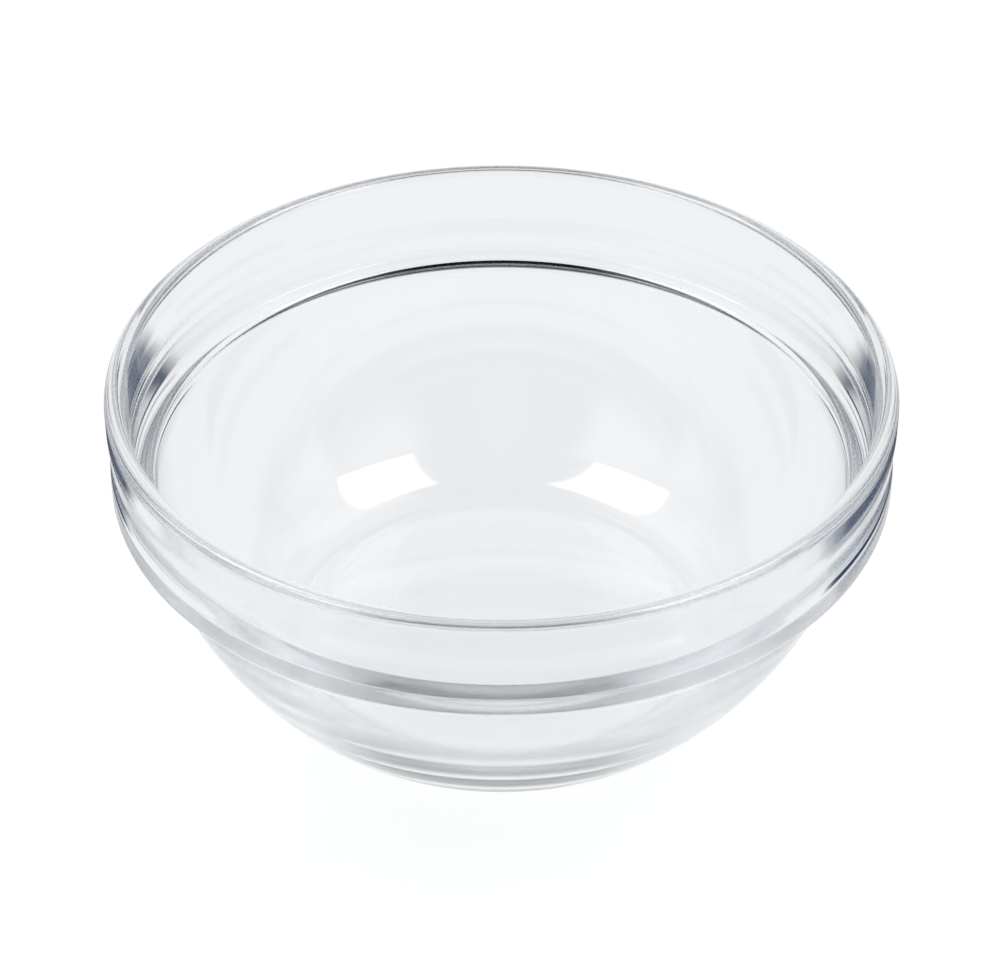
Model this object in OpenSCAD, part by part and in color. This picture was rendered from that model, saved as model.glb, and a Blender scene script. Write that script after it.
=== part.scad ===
// Stackable prep bowl of clear pressed glass, in one piece.
// The whole form is one outline turned round the Z axis.
// The origin is the centre of the foot, on the surface that the bowl stands on.

/* [Overall] */
// Widest diameter, across the outside of the rim
rim_d = 120; // [100:1:150]
// Height from the table to the top of the rim
bowl_h = 53; // [48:1:60]
// Distance from the outside of the rim in to the edge of the flat ring that the bowl stands on
foot_inset = 30.1; // [27:0.1:34]

/* [Rim and stacking band] */
// Thickness of the fully rounded rim
lip_t = 3.05; // [2.5:0.05:3.8]
// Height from the top of the rim to the step under the band
band_h = 17.8; // [16.5:0.1:19.5]
// How far the band stands out from the wall below it, so that a bowl seats on the next one's rim
step_w = 4.4; // [3.6:0.1:5.2]
// Rounding of the band's lower edge
band_edge_r = 2; // [1:0.1:2.6]
// Hollow rounding where the step meets the wall
step_root_r = 1; // [0.3:0.1:1.2]
// How much less the band's radius is at its lower edge than at the rim
band_taper = 0.15; // [0:0.05:0.5]
// Depth of the shallow waist round the band
waist_depth = 0.35; // [0.1:0.05:0.8]
// Height of the waist
waist_h = 9; // [6:0.5:10]
// Distance from the top of the rim down to the middle of the waist
waist_drop = 9.2; // [7.5:0.1:10]

/* [Inner ledge] */
// Distance from the top of the rim down to the ledge
ledge_drop = 15.2; // [14:0.1:16.5]
// Width of the ledge, from the band's inner face to the wall's
ledge_w = 2.8; // [1.6:0.1:3.4]
// Slope of the inner face of the band, which lets the plunger out of the mould
draft = 2.8; // [0.5:0.1:5]
// Hollow rounding where the band's inner face meets the ledge
ledge_root_r = 0.3; // [0.1:0.1:1]
// Rounding of the ledge's inner edge
ledge_edge_r = 0.8; // [0.2:0.1:1.2]

/* [Outside of the wall] */
// Radius of the arc that the neck under the step follows, seen from the side
neck_r = 24; // [16:0.5:40]
// Lean of the neck where it meets the step
neck_lean = 6.5; // [2:0.5:10]
// Radius of the arc that the wall follows below the neck
wall_arc_r = 65; // [58:0.5:90]
// Radius of the turn from the wall to the foot
heel_r = 14; // [9:0.5:18]

/* [Inside of the wall and floor] */
// Radius of the arc that the inner face of the wall follows
inner_arc_r = 66; // [58:0.5:80]
// Thickness of the glass where the wall turns into the foot
heel_t = 3.75; // [2.8:0.05:4.6]
// Radius of the turn from the wall to the floor, inside
floor_turn_r = 17.5; // [10:0.5:22]
// Thickness of the floor, from the table up
floor_t = 5.2; // [3.6:0.1:7]

/* [Foot] */
// Width of the flat ring that the bowl stands on
foot_w = 3; // [2:0.5:5]
// Depth of the recess inside the foot ring
recess_depth = 0.4; // [0.2:0.1:1]
// Width of the smooth slope from the foot ring up into the recess
recess_slope_w = 12; // [3:0.5:18]

/* [Hidden] */

// The most that a straight step may stray from a curve, and the steps in one full turn
curve_tol = 0.008;
turn_steps = 180;
// Steps along the waist and along the slope of the recess
wave_steps = 16;

rim_r = rim_d / 2;
lip_r = lip_t / 2;
lip_z = bowl_h - lip_r;
step_z = bowl_h - band_h;
ledge_z = bowl_h - ledge_drop;
foot_r = rim_r - foot_inset;

// Outside: the neck's arc starts at the edge of the step, and the wall's arc touches it and the heel
neck_c = polar([rim_r - step_w, step_z], neck_r, 180 - neck_lean);
heel_c = [foot_r, heel_r];
wall_c = meeting(neck_c, wall_arc_r - neck_r, heel_c, wall_arc_r - heel_r);

// Centres of the roundings of the band's lower edge and of the corner under the step
band_edge_c = [rim_r - band_taper - band_edge_r, step_z + band_edge_r];
step_root_c = beside(neck_c, neck_r + step_root_r, step_z - step_root_r);

// Inside: the band's inner face touches the rounded rim and leans inwards on its way down to the ledge
rim_c = [rim_r - lip_r, lip_z];
ledge_root_z = ledge_z + ledge_root_r;
ledge_root_c = [
    rim_c[0] - (lip_r + ledge_root_r) / cos(draft) - (lip_z - ledge_root_z) * tan(draft),
    ledge_root_z,
];
band_face_r = rim_c[0] - lip_r / cos(draft) - (lip_z - ledge_z) * tan(draft);

// The wall's inner face runs from the ledge's edge to a point inside the heel, and turns into the floor
inside_heel = polar(wall_c, wall_arc_r - heel_t, heading(wall_c, heel_c));
inner_c = meeting([band_face_r - ledge_w, ledge_z], inner_arc_r, inside_heel, inner_arc_r);
ledge_edge_c = beside(inner_c, inner_arc_r + ledge_edge_r, ledge_z - ledge_edge_r);
floor_turn_c = beside(inner_c, inner_arc_r - floor_turn_r, floor_t + floor_turn_r);

// A point at a distance from a centre, in a direction
function polar(centre, radius, angle) = centre + radius * [cos(angle), sin(angle)];

// Points of an arc, from one angle to another by the shorter way round
function arc(centre, radius, from, to) =
    let (turn = (to - from + 540) % 360 - 180)
    let (steps = ceil(abs(turn) / (2 * acos(1 - curve_tol / radius))))
    [for (i = [0:steps]) polar(centre, radius, from + turn * i / steps)];

// Direction from one point to another
function heading(from, to) = atan2(to[1] - from[1], to[0] - from[0]);

// The point at two given distances from two others, on the side nearer the axis
function meeting(a, reach_a, b, reach_b) =
    let (gap = norm(b - a), along = (gap ^ 2 + reach_a ^ 2 - reach_b ^ 2) / (2 * gap))
    let (unit = (b - a) / gap, across = sqrt(reach_a ^ 2 - along ^ 2))
    a + along * unit + across * [unit[1], -unit[0]];

// The point at a given height and distance from a centre, on the side away from the axis
function beside(centre, reach, z) = [centre[0] + sqrt(reach ^ 2 - (z - centre[1]) ^ 2), z];

// Share of a smooth rise from 0 to 1 and, past that, back to 0
function swell(share) = (1 - cos(180 * share)) / 2;

// Radius of the band at a height, without its waist
function band_r(z) = rim_r - band_taper * (lip_z - z) / (lip_z - band_edge_c[1]);

outside = [
    // the slope of the recess and the flat foot ring
    for (i = [0:wave_steps]) let (share = i / wave_steps)
        [foot_r - foot_w - recess_slope_w * (1 - share), recess_depth * (1 - swell(share))],
    // the heel, the curved wall and the neck
    each arc(heel_c, heel_r, 270, heading(wall_c, heel_c)),
    each arc(wall_c, wall_arc_r, heading(wall_c, heel_c), heading(wall_c, neck_c)),
    each arc(neck_c, neck_r, heading(wall_c, neck_c), heading(neck_c, step_root_c)),
    // the hollow corner under the step and the band's lower edge
    each arc(step_root_c, step_root_r, heading(step_root_c, neck_c), 90),
    each arc(band_edge_c, band_edge_r, 270, 360),
    // the waist
    for (i = [0:wave_steps])
        let (share = i / wave_steps, z = bowl_h - waist_drop + waist_h * (share - 1 / 2))
        [band_r(z) - waist_depth * swell(2 * share), z],
];

inside = [
    // the rounded rim
    each arc(rim_c, lip_r, 0, 180 - draft),
    // the hollow corner of the ledge and its inner edge
    each arc(ledge_root_c, ledge_root_r, 360 - draft, 270),
    each arc(ledge_edge_c, ledge_edge_r, 90, heading(ledge_edge_c, inner_c)),
    // the curved wall and its turn to the floor
    each arc(inner_c, inner_arc_r, heading(inner_c, ledge_edge_c), heading(inner_c, floor_turn_c)),
    each arc(floor_turn_c, floor_turn_r, heading(inner_c, floor_turn_c), 270),
];

// The bowl: the outside and the inside meet on the axis
module glass_bowl() {
    color([0.86, 0.92, 0.94, 0.5])
        rotate_extrude($fn = turn_steps)
            polygon([[0, recess_depth], each outside, each inside, [0, floor_t]]);
}

glass_bowl();
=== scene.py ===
"""A prep bowl of clear pressed glass on a white table, in plain soft studio light."""
import math

import bpy
import numpy as np
from mathutils import Matrix, Vector


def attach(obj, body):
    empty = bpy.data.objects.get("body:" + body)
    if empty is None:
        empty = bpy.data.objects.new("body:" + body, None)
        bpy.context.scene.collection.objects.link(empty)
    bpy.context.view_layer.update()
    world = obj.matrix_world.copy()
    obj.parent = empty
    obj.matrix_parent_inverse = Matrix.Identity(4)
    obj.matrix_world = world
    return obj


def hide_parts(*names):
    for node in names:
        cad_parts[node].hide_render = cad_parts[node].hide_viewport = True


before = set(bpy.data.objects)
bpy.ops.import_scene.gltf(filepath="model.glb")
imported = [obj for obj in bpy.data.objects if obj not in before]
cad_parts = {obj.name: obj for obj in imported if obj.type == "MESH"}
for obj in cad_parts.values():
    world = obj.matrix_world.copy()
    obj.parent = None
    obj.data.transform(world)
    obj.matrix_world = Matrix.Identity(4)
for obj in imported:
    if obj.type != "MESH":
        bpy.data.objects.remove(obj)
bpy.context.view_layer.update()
scene = bpy.context.scene
MM = 0.001

# ---------------------------------------------------------------- sizes, in millimetres
RIM_D, BOWL_H, FOOT_INSET = 120, 53, 30.1
LIP_T, BAND_H, STEP_W = 3.05, 17.8, 4.4
BAND_EDGE_R, STEP_ROOT_R, BAND_TAPER = 2, 1, 0.15
WAIST_DEPTH, WAIST_H, WAIST_DROP = 0.35, 9, 9.2
LEDGE_DROP, LEDGE_W, DRAFT = 15.2, 2.8, 2.8
LEDGE_ROOT_R, LEDGE_EDGE_R = 0.3, 0.8
NECK_R, NECK_LEAN, WALL_ARC_R, HEEL_R = 24, 6.5, 65, 14
INNER_ARC_R, HEEL_T, FLOOR_TURN_R, FLOOR_T = 66, 3.75, 17.5, 5.2
FOOT_W, RECESS_DEPTH, RECESS_SLOPE_W = 3, 0.4, 12

# How finely the smooth surfaces are divided
CURVE_TOL = 0.002
WAVE_STEPS = 48
TURN_STEPS = 512


# ---------------------------------------------------------------- the outline
def polar(centre, radius, angle):
    turn = math.radians(angle)
    return centre[0] + radius * math.cos(turn), centre[1] + radius * math.sin(turn)


def arc(centre, radius, start, end, facing=1):
    """Points of an arc with the way the glass faces there: 1 away from the centre, -1 towards it."""
    turn = (end - start + 540) % 360 - 180
    steps = math.ceil(abs(turn) / math.degrees(2 * math.acos(1 - CURVE_TOL / radius)))
    angles = [start + turn * i / steps for i in range(steps + 1)]
    return [(polar(centre, radius, angle), polar((0, 0), facing, angle)) for angle in angles]


def heading(start, end):
    return math.degrees(math.atan2(end[1] - start[1], end[0] - start[0]))


def beside(centre, reach, z):
    return centre[0] + math.sqrt(reach ** 2 - (z - centre[1]) ** 2), z


def meeting(a, reach_a, b, reach_b):
    """The point at two given distances from two others, on the side nearer the axis."""
    gap = math.dist(a, b)
    along = (gap ** 2 + reach_a ** 2 - reach_b ** 2) / (2 * gap)
    across = math.sqrt(reach_a ** 2 - along ** 2)
    unit = (b[0] - a[0]) / gap, (b[1] - a[1]) / gap
    return a[0] + along * unit[0] + across * unit[1], a[1] + along * unit[1] - across * unit[0]


def swell(share):
    return (1 - math.cos(math.pi * share)) / 2


def slope(share):
    """How fast swell() rises."""
    return math.pi * math.sin(math.pi * share) / 2


def outline():
    """The bowl's section in millimetres, up the outside and down the inside, with the way it faces."""
    rim_r, lip_r, foot_r = RIM_D / 2, LIP_T / 2, RIM_D / 2 - FOOT_INSET
    lip_z, step_z, ledge_z = BOWL_H - lip_r, BOWL_H - BAND_H, BOWL_H - LEDGE_DROP
    lean = math.radians(DRAFT)

    neck_c = polar((rim_r - STEP_W, step_z), NECK_R, 180 - NECK_LEAN)
    heel_c = (foot_r, HEEL_R)
    wall_c = meeting(neck_c, WALL_ARC_R - NECK_R, heel_c, WALL_ARC_R - HEEL_R)
    band_edge_c = (rim_r - BAND_TAPER - BAND_EDGE_R, step_z + BAND_EDGE_R)
    step_root_c = beside(neck_c, NECK_R + STEP_ROOT_R, step_z - STEP_ROOT_R)

    rim_c = (rim_r - lip_r, lip_z)
    root_z = ledge_z + LEDGE_ROOT_R
    root_r = rim_c[0] - (lip_r + LEDGE_ROOT_R) / math.cos(lean) - (lip_z - root_z) * math.tan(lean)
    face_r = rim_c[0] - lip_r / math.cos(lean) - (lip_z - ledge_z) * math.tan(lean)
    inside_heel = polar(wall_c, WALL_ARC_R - HEEL_T, heading(wall_c, heel_c))
    inner_c = meeting((face_r - LEDGE_W, ledge_z), INNER_ARC_R, inside_heel, INNER_ARC_R)
    ledge_edge_c = beside(inner_c, INNER_ARC_R + LEDGE_EDGE_R, ledge_z - LEDGE_EDGE_R)
    turn_c = beside(inner_c, INNER_ARC_R - FLOOR_TURN_R, FLOOR_T + FLOOR_TURN_R)

    points = [((0, RECESS_DEPTH), (0, -1))]
    for i in range(WAVE_STEPS + 1):
        share = i / WAVE_STEPS
        place = foot_r - FOOT_W - RECESS_SLOPE_W * (1 - share), RECESS_DEPTH * (1 - swell(share))
        points.append((place, (-RECESS_DEPTH * slope(share) / RECESS_SLOPE_W, -1)))
    points += arc(heel_c, HEEL_R, 270, heading(wall_c, heel_c))
    points += arc(wall_c, WALL_ARC_R, heading(wall_c, heel_c), heading(wall_c, neck_c))
    points += arc(neck_c, NECK_R, heading(wall_c, neck_c), heading(neck_c, step_root_c))
    points += arc(step_root_c, STEP_ROOT_R, heading(step_root_c, neck_c), 90, -1)
    points += arc(band_edge_c, BAND_EDGE_R, 270, 360)
    for i in range(WAVE_STEPS + 1):
        share = i / WAVE_STEPS
        z = BOWL_H - WAIST_DROP + WAIST_H * (share - 1 / 2)
        band_r = rim_r - BAND_TAPER * (lip_z - z) / (lip_z - band_edge_c[1])
        place = band_r - WAIST_DEPTH * swell(2 * share), z
        points.append((place, (1, 2 * WAIST_DEPTH * slope(2 * share) / WAIST_H)))
    points += arc(rim_c, lip_r, 0, 180 - DRAFT)
    points += arc((root_r, root_z), LEDGE_ROOT_R, 360 - DRAFT, 270, -1)
    points += arc(ledge_edge_c, LEDGE_EDGE_R, 90, heading(ledge_edge_c, inner_c))
    points += arc(inner_c, INNER_ARC_R, heading(inner_c, ledge_edge_c), heading(inner_c, turn_c), -1)
    points += arc(turn_c, FLOOR_TURN_R, heading(inner_c, turn_c), 270, -1)
    points.append(((0, FLOOR_T), (0, 1)))

    apart = [points[0]]
    for point in points[1:]:
        if math.dist(point[0], apart[-1][0]) > CURVE_TOL / 2:
            apart.append(point)
    return apart


# ---------------------------------------------------------------- the bowl's mesh
def turned(name, section):
    """A closed mesh: the section turned round the Z axis, shaded with the section's own normals."""
    turns = 2 * math.pi * np.arange(TURN_STEPS) / TURN_STEPS

    def rings(pairs):
        out, up = pairs[1:-1, 0], pairs[1:-1, 1]
        around = [
            np.outer(out, np.cos(turns)),
            np.outer(out, np.sin(turns)),
            np.repeat(up[:, None], TURN_STEPS, 1),
        ]
        ends = [(0, 0, pairs[0, 1]), (0, 0, pairs[-1, 1])]
        return np.stack(around, -1).reshape(-1, 3).tolist() + ends

    verts = rings(np.array([point for point, facing in section]) * MM)
    facings = np.array(rings(np.array([facing for point, facing in section])))
    facings /= np.linalg.norm(facings, axis=1)[:, None]
    under, floor = len(verts) - 2, len(verts) - 1
    faces = []
    count = len(section) - 2
    for j in range(TURN_STEPS):
        k = (j + 1) % TURN_STEPS
        faces.append((under, k, j))
        for i in range(count - 1):
            a, b = i * TURN_STEPS, (i + 1) * TURN_STEPS
            faces.append((a + j, a + k, b + k, b + j))
        last = (count - 1) * TURN_STEPS
        faces.append((floor, last + j, last + k))
    mesh = bpy.data.meshes.new(name)
    mesh.from_pydata(verts, [], faces)
    mesh.polygons.foreach_set("use_smooth", [True] * len(faces))
    mesh.update()
    mesh.normals_split_custom_set_from_vertices(facings.tolist())
    return mesh


bowl = bpy.data.objects.new("pressed_bowl", turned("pressed_bowl", outline()))
scene.collection.objects.link(bowl)
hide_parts("glass_bowl")
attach(bowl, "root")


# ---------------------------------------------------------------- materials
def new_material(name):
    material = bpy.data.materials.new(name)
    material.use_nodes = True
    material.node_tree.nodes.clear()
    return material, material.node_tree


def add(tree, kind, **settings):
    node = tree.nodes.new(kind)
    for key, value in settings.items():
        if key in node.inputs:
            node.inputs[key].default_value = value
        else:
            setattr(node, key, value)
    return node


def maths(tree, operation, *values, clamp=False):
    node = tree.nodes.new("ShaderNodeMath")
    node.operation = operation
    node.use_clamp = clamp
    for i, value in enumerate(values):
        if isinstance(value, (int, float)):
            node.inputs[i].default_value = value
        else:
            tree.links.new(value, node.inputs[i])
    return node.outputs[0]


# The ripple that pressing leaves, in metres high, and a very faint cloud in the tint
RIPPLE_SCALE, RIPPLE_HEIGHT = 55.0, 0.00002
CLOUD_SCALE = 18.0
TINTS = {0.3: (0.975, 0.985, 0.99, 1), 0.7: (0.985, 0.99, 0.995, 1)}
# The roughness is only enough to calm light that bounces many times in the band
GLASS_IOR, GLASS_ROUGHNESS = 1.5, 0.06
# The share of light that the glass lets through to its shadow
SHADOW_TINT = (0.8, 0.81, 0.82, 1)

glass, tree = new_material("clear_glass")
link = tree.links.new
place = add(tree, "ShaderNodeTexCoord").outputs["Object"]
ripple = add(tree, "ShaderNodeTexNoise", Scale=RIPPLE_SCALE, Detail=1.0, Roughness=0.4)
link(place, ripple.inputs["Vector"])
bump = add(tree, "ShaderNodeBump", Strength=1.0, Distance=RIPPLE_HEIGHT)
link(ripple.outputs["Fac"], bump.inputs["Height"])
cloud = add(tree, "ShaderNodeTexNoise", Scale=CLOUD_SCALE, Detail=2.0)
link(place, cloud.inputs["Vector"])
tint = add(tree, "ShaderNodeValToRGB")
for element, (position, colour) in zip(tint.color_ramp.elements, TINTS.items()):
    element.position, element.color = position, colour
link(cloud.outputs["Fac"], tint.inputs["Fac"])
body = add(tree, "ShaderNodeBsdfPrincipled", Roughness=GLASS_ROUGHNESS, IOR=GLASS_IOR)
body.inputs["Transmission Weight"].default_value = 1
link(tint.outputs["Color"], body.inputs["Base Color"])
link(bump.outputs["Normal"], body.inputs["Normal"])
clear = add(tree, "ShaderNodeBsdfTransparent", Color=SHADOW_TINT)
shade = add(tree, "ShaderNodeMixShader")
link(add(tree, "ShaderNodeLightPath").outputs["Is Shadow Ray"], shade.inputs[0])
link(body.outputs[0], shade.inputs[1])
link(clear.outputs[0], shade.inputs[2])
link(shade.outputs[0], add(tree, "ShaderNodeOutputMaterial").inputs["Surface"])
bowl.data.materials.append(glass)

# ---------------------------------------------------------------- the table
TABLE_HALF, TABLE_GAP = 3.0, 0.0002
NAVY, BLACK = (0.02, 0.035, 0.075), (0.004, 0.004, 0.006)
# Painted reflection: the dark blue glow of the patches painted on the table, seen only in the glass
PAINTED_REFLECTION_BLUE = (0.006, 0.03, 0.09)
CARD_COLOUR = (0.9, 0.905, 0.91)
PAINT = (0.8, 0.8, 0.8, 1)
# The camera sees the table mostly as plain white, with a share of the lit paint for the shadow
PLAIN_SHARE, PLAIN_GLOW = 0.7, 1.127
# Azimuth and half the width of each painted dark patch in degrees, then how near and far both reach in
# metres
PAINTED_REFLECTION_PATCHES = (20, 28), (148, 18)
PAINTED_REFLECTION_NEAR, PAINTED_REFLECTION_FAR, PAINTED_REFLECTION_SOFT, PAINTED_REFLECTION_TURN_SOFT = 0.09, 0.118, 0.003, 4
table_mesh = bpy.data.meshes.new("table")
signs = (-1, -1), (1, -1), (1, 1), (-1, 1)
corners = [(east * TABLE_HALF, north * TABLE_HALF, 0) for east, north in signs]
table_mesh.from_pydata(corners, [], [(0, 1, 2, 3)])
table = bpy.data.objects.new("table", table_mesh)
table.location.z = -TABLE_GAP
scene.collection.objects.link(table)

white, tree = new_material("white_table")
link = tree.links.new
paths = add(tree, "ShaderNodeLightPath")
seen = maths(tree, "MAXIMUM", paths.outputs["Is Glossy Ray"], paths.outputs["Is Transmission Ray"])


def band(value, low, high, soft):
    """1 between low and high, with soft edges, else 0."""
    over = maths(tree, "DIVIDE", maths(tree, "SUBTRACT", value, low - soft / 2), soft, clamp=True)
    below = maths(tree, "DIVIDE", maths(tree, "SUBTRACT", high + soft / 2, value), soft, clamp=True)
    return maths(tree, "MULTIPLY", over, below)


def heading_of(east, north):
    """Azimuth in degrees, from the right, by way of the back."""
    return maths(tree, "DEGREES", maths(tree, "ARCTAN2", north, east))


def away(turn, azimuth):
    """Degrees between two azimuths, whichever way round."""
    return maths(tree, "ABSOLUTE", maths(tree, "WRAP", maths(tree, "SUBTRACT", turn, azimuth), 180, -180))


# The glass shows the table as white as it is, but for a curved painted dark patch on either side of the
# bowl: a painted reflection that only glossy and transmission rays see, which paints the dark lines at
# the glass's edges
spot = add(tree, "ShaderNodeSeparateXYZ")
link(add(tree, "ShaderNodeTexCoord").outputs["Object"], spot.inputs[0])
east, north = spot.outputs["X"], spot.outputs["Y"]
squares = maths(tree, "ADD", maths(tree, "MULTIPLY", east, east), maths(tree, "MULTIPLY", north, north))
ring = band(maths(tree, "SQRT", squares), PAINTED_REFLECTION_NEAR, PAINTED_REFLECTION_FAR, PAINTED_REFLECTION_SOFT)
bearing = heading_of(east, north)
sides = [band(away(bearing, azimuth), -180, half, PAINTED_REFLECTION_TURN_SOFT) for azimuth, half in PAINTED_REFLECTION_PATCHES]
# The mask of the painted reflection: where the table glows dark for rays off or through the glass
painted_reflection_mask = maths(tree, "MULTIPLY", ring, maths(tree, "MAXIMUM", *sides))
paint = add(tree, "ShaderNodeBsdfDiffuse", Color=PAINT)
plain = add(tree, "ShaderNodeEmission", Color=(1, 1, 1, 1), Strength=PLAIN_GLOW)
lit = add(tree, "ShaderNodeEmission", Color=(*CARD_COLOUR, 1), Strength=1.0)
# Painted reflection: dark glow on the table that paints the glass's dark lines
painted_reflection_glow = add(tree, "ShaderNodeEmission", Color=(*PAINTED_REFLECTION_BLUE, 1), Strength=1.0)


def mixed(share, under, over):
    node = tree.nodes.new("ShaderNodeMixShader")
    if isinstance(share, (int, float)):
        node.inputs[0].default_value = share
    else:
        link(share, node.inputs[0])
    link(under, node.inputs[1])
    link(over, node.inputs[2])
    return node.outputs[0]


# What the glass sees of the table: an even glow, with the painted dark reflection patches laid in
through_glass = mixed(painted_reflection_mask, lit.outputs[0], painted_reflection_glow.outputs[0])
direct = mixed(PLAIN_SHARE, paint.outputs[0], plain.outputs[0])
surface = mixed(paths.outputs["Is Camera Ray"], mixed(seen, paint.outputs[0], through_glass), direct)
link(surface, add(tree, "ShaderNodeOutputMaterial").inputs["Surface"])
table_mesh.materials.append(white)

# ---------------------------------------------------------------- the studio round the bowl
world = bpy.data.worlds.new("studio")
scene.world = world
world.use_nodes = True
tree = world.node_tree
tree.nodes.clear()
link = tree.links.new
split = add(tree, "ShaderNodeSeparateXYZ")
link(add(tree, "ShaderNodeTexCoord").outputs["Generated"], split.inputs[0])
east, north, up = split.outputs
rise = maths(tree, "DEGREES", maths(tree, "ARCSINE", up))
turn = heading_of(east, north)


def zone(under, colour, low, high, azimuth=0, half=180, soft=6):
    """A patch of the studio with its own colour, in degrees, laid over what is there already."""
    mask = band(rise, low, high, soft)
    if half < 180:
        mask = maths(tree, "MULTIPLY", mask, band(away(turn, azimuth), -180, half, soft))
    blend = tree.nodes.new("ShaderNodeMix")
    blend.data_type = "RGBA"
    link(mask, blend.inputs["Factor"])
    if under is None:
        blend.inputs["A"].default_value = (*colour, 1)
    else:
        link(under, blend.inputs["A"])
    blend.inputs["B"].default_value = (*colour, 1)
    return blend.outputs["Result"]


def grey(bright, cool=0.04):
    return bright * (1 - cool), bright, bright * (1 + cool)


RIGHT, BACK, LEFT, FRONT = 0, 90, 180, 270
# Colour, lowest and highest rise, and, where a patch doesn't go all round, its azimuth and half its
# width, and its softness, all in degrees. A later patch lies over the earlier ones
ZONES = [
    (NAVY, -95, 95),
    (grey(0.88), -95, 7),
    (grey(0.25), 22, 60, FRONT, 10),
    (BLACK, 48, 95),
    (grey(0.6), 8, 46, 45, 16, 14),
    (grey(0.6), 8, 46, 135, 16, 14),
    (grey(0.9), 24, 50, 324, 18, 14),
    (grey(1.0), 22, 58, 214, 19, 10),
    (grey(1.15), 36, 70, 10, 38, 14),
    (grey(1.15), 36, 70, 164, 42, 14),
    (grey(0.9), 4, 36, BACK, 24, 16),
    (grey(1.0), 12, 38, RIGHT, 16),
    (grey(1.0), 12, 38, LEFT, 16),
]
level = None
for patch in ZONES:
    level = zone(level, *patch)

seen = add(tree, "ShaderNodeLightPath").outputs["Is Camera Ray"]
back = add(tree, "ShaderNodeMix")
back.data_type = "RGBA"
link(seen, back.inputs["Factor"])
link(level, back.inputs["A"])
back.inputs["B"].default_value = (1, 1, 1, 1)
sky = add(tree, "ShaderNodeBackground", Strength=1.0)
link(back.outputs["Result"], sky.inputs["Color"])
link(sky.outputs[0], add(tree, "ShaderNodeOutputWorld").inputs["Surface"])

# ---------------------------------------------------------------- the two softboxes
LAMP_BRIGHT = 4.0


def softbox(name, near, far, across, width, bright):
    """A strip lamp between the middles of its two ends, in metres, as bright as the glass shows it."""
    near, far = Vector(near), Vector(far)
    middle, along = (near + far) / 2, (far - near).normalized()
    back = along.cross(Vector(across)).normalized()
    if back.dot(middle) < 0:
        back = -back
    lamp = bpy.data.lights.new(name, "AREA")
    lamp.shape = "RECTANGLE"
    lamp.size, lamp.size_y = (far - near).length, width
    lamp.energy = math.pi * lamp.size * lamp.size_y * bright
    holder = bpy.data.objects.new(name, lamp)
    holder.matrix_world = Matrix((along, back.cross(along), back)).transposed().to_4x4()
    holder.location = middle
    # The glass mirrors the lamp, but isn't seen through to it, which keeps the band's edges calm
    holder.visible_transmission = False
    scene.collection.objects.link(holder)


# Name, the middles of the near and far ends, the way across, and the width
SOFTBOXES = [
    ("softbox_right", (0.52, -0.21, 0.60), (0.41, 0.36, 1.42), (0.66, 0.66, -0.36), 0.41),
    ("softbox_left", (-0.48, -0.10, 0.66), (-0.25, 0.42, 1.25), (-0.35, 0.90, -0.20), 0.38),
]
for lamp in SOFTBOXES:
    softbox(*lamp, LAMP_BRIGHT)

# ---------------------------------------------------------------- the camera
CAMERA_RISE, CAMERA_REACH, AIM_HEIGHT = 37.4, 0.54, 0.03283
CAMERA_LENS, SENSOR_WIDTH, CAMERA_SHIFT = 125.67, 36, -0.0016
camera = bpy.data.objects.new("camera", bpy.data.cameras.new("camera"))
camera.data.lens = CAMERA_LENS
camera.data.sensor_width = SENSOR_WIDTH
camera.data.shift_x = CAMERA_SHIFT
tilt = math.radians(CAMERA_RISE)
camera.location = (0, -CAMERA_REACH * math.cos(tilt), AIM_HEIGHT + CAMERA_REACH * math.sin(tilt))
camera.rotation_euler = (math.pi / 2 - tilt, 0, 0)
scene.collection.objects.link(camera)
scene.camera = camera

BOUNCES = 24
scene.view_settings.view_transform = "Standard"
scene.cycles.max_bounces = BOUNCES
scene.cycles.transmission_bounces = BOUNCES
scene.cycles.glossy_bounces = BOUNCES

bpy.context.view_layer.update()
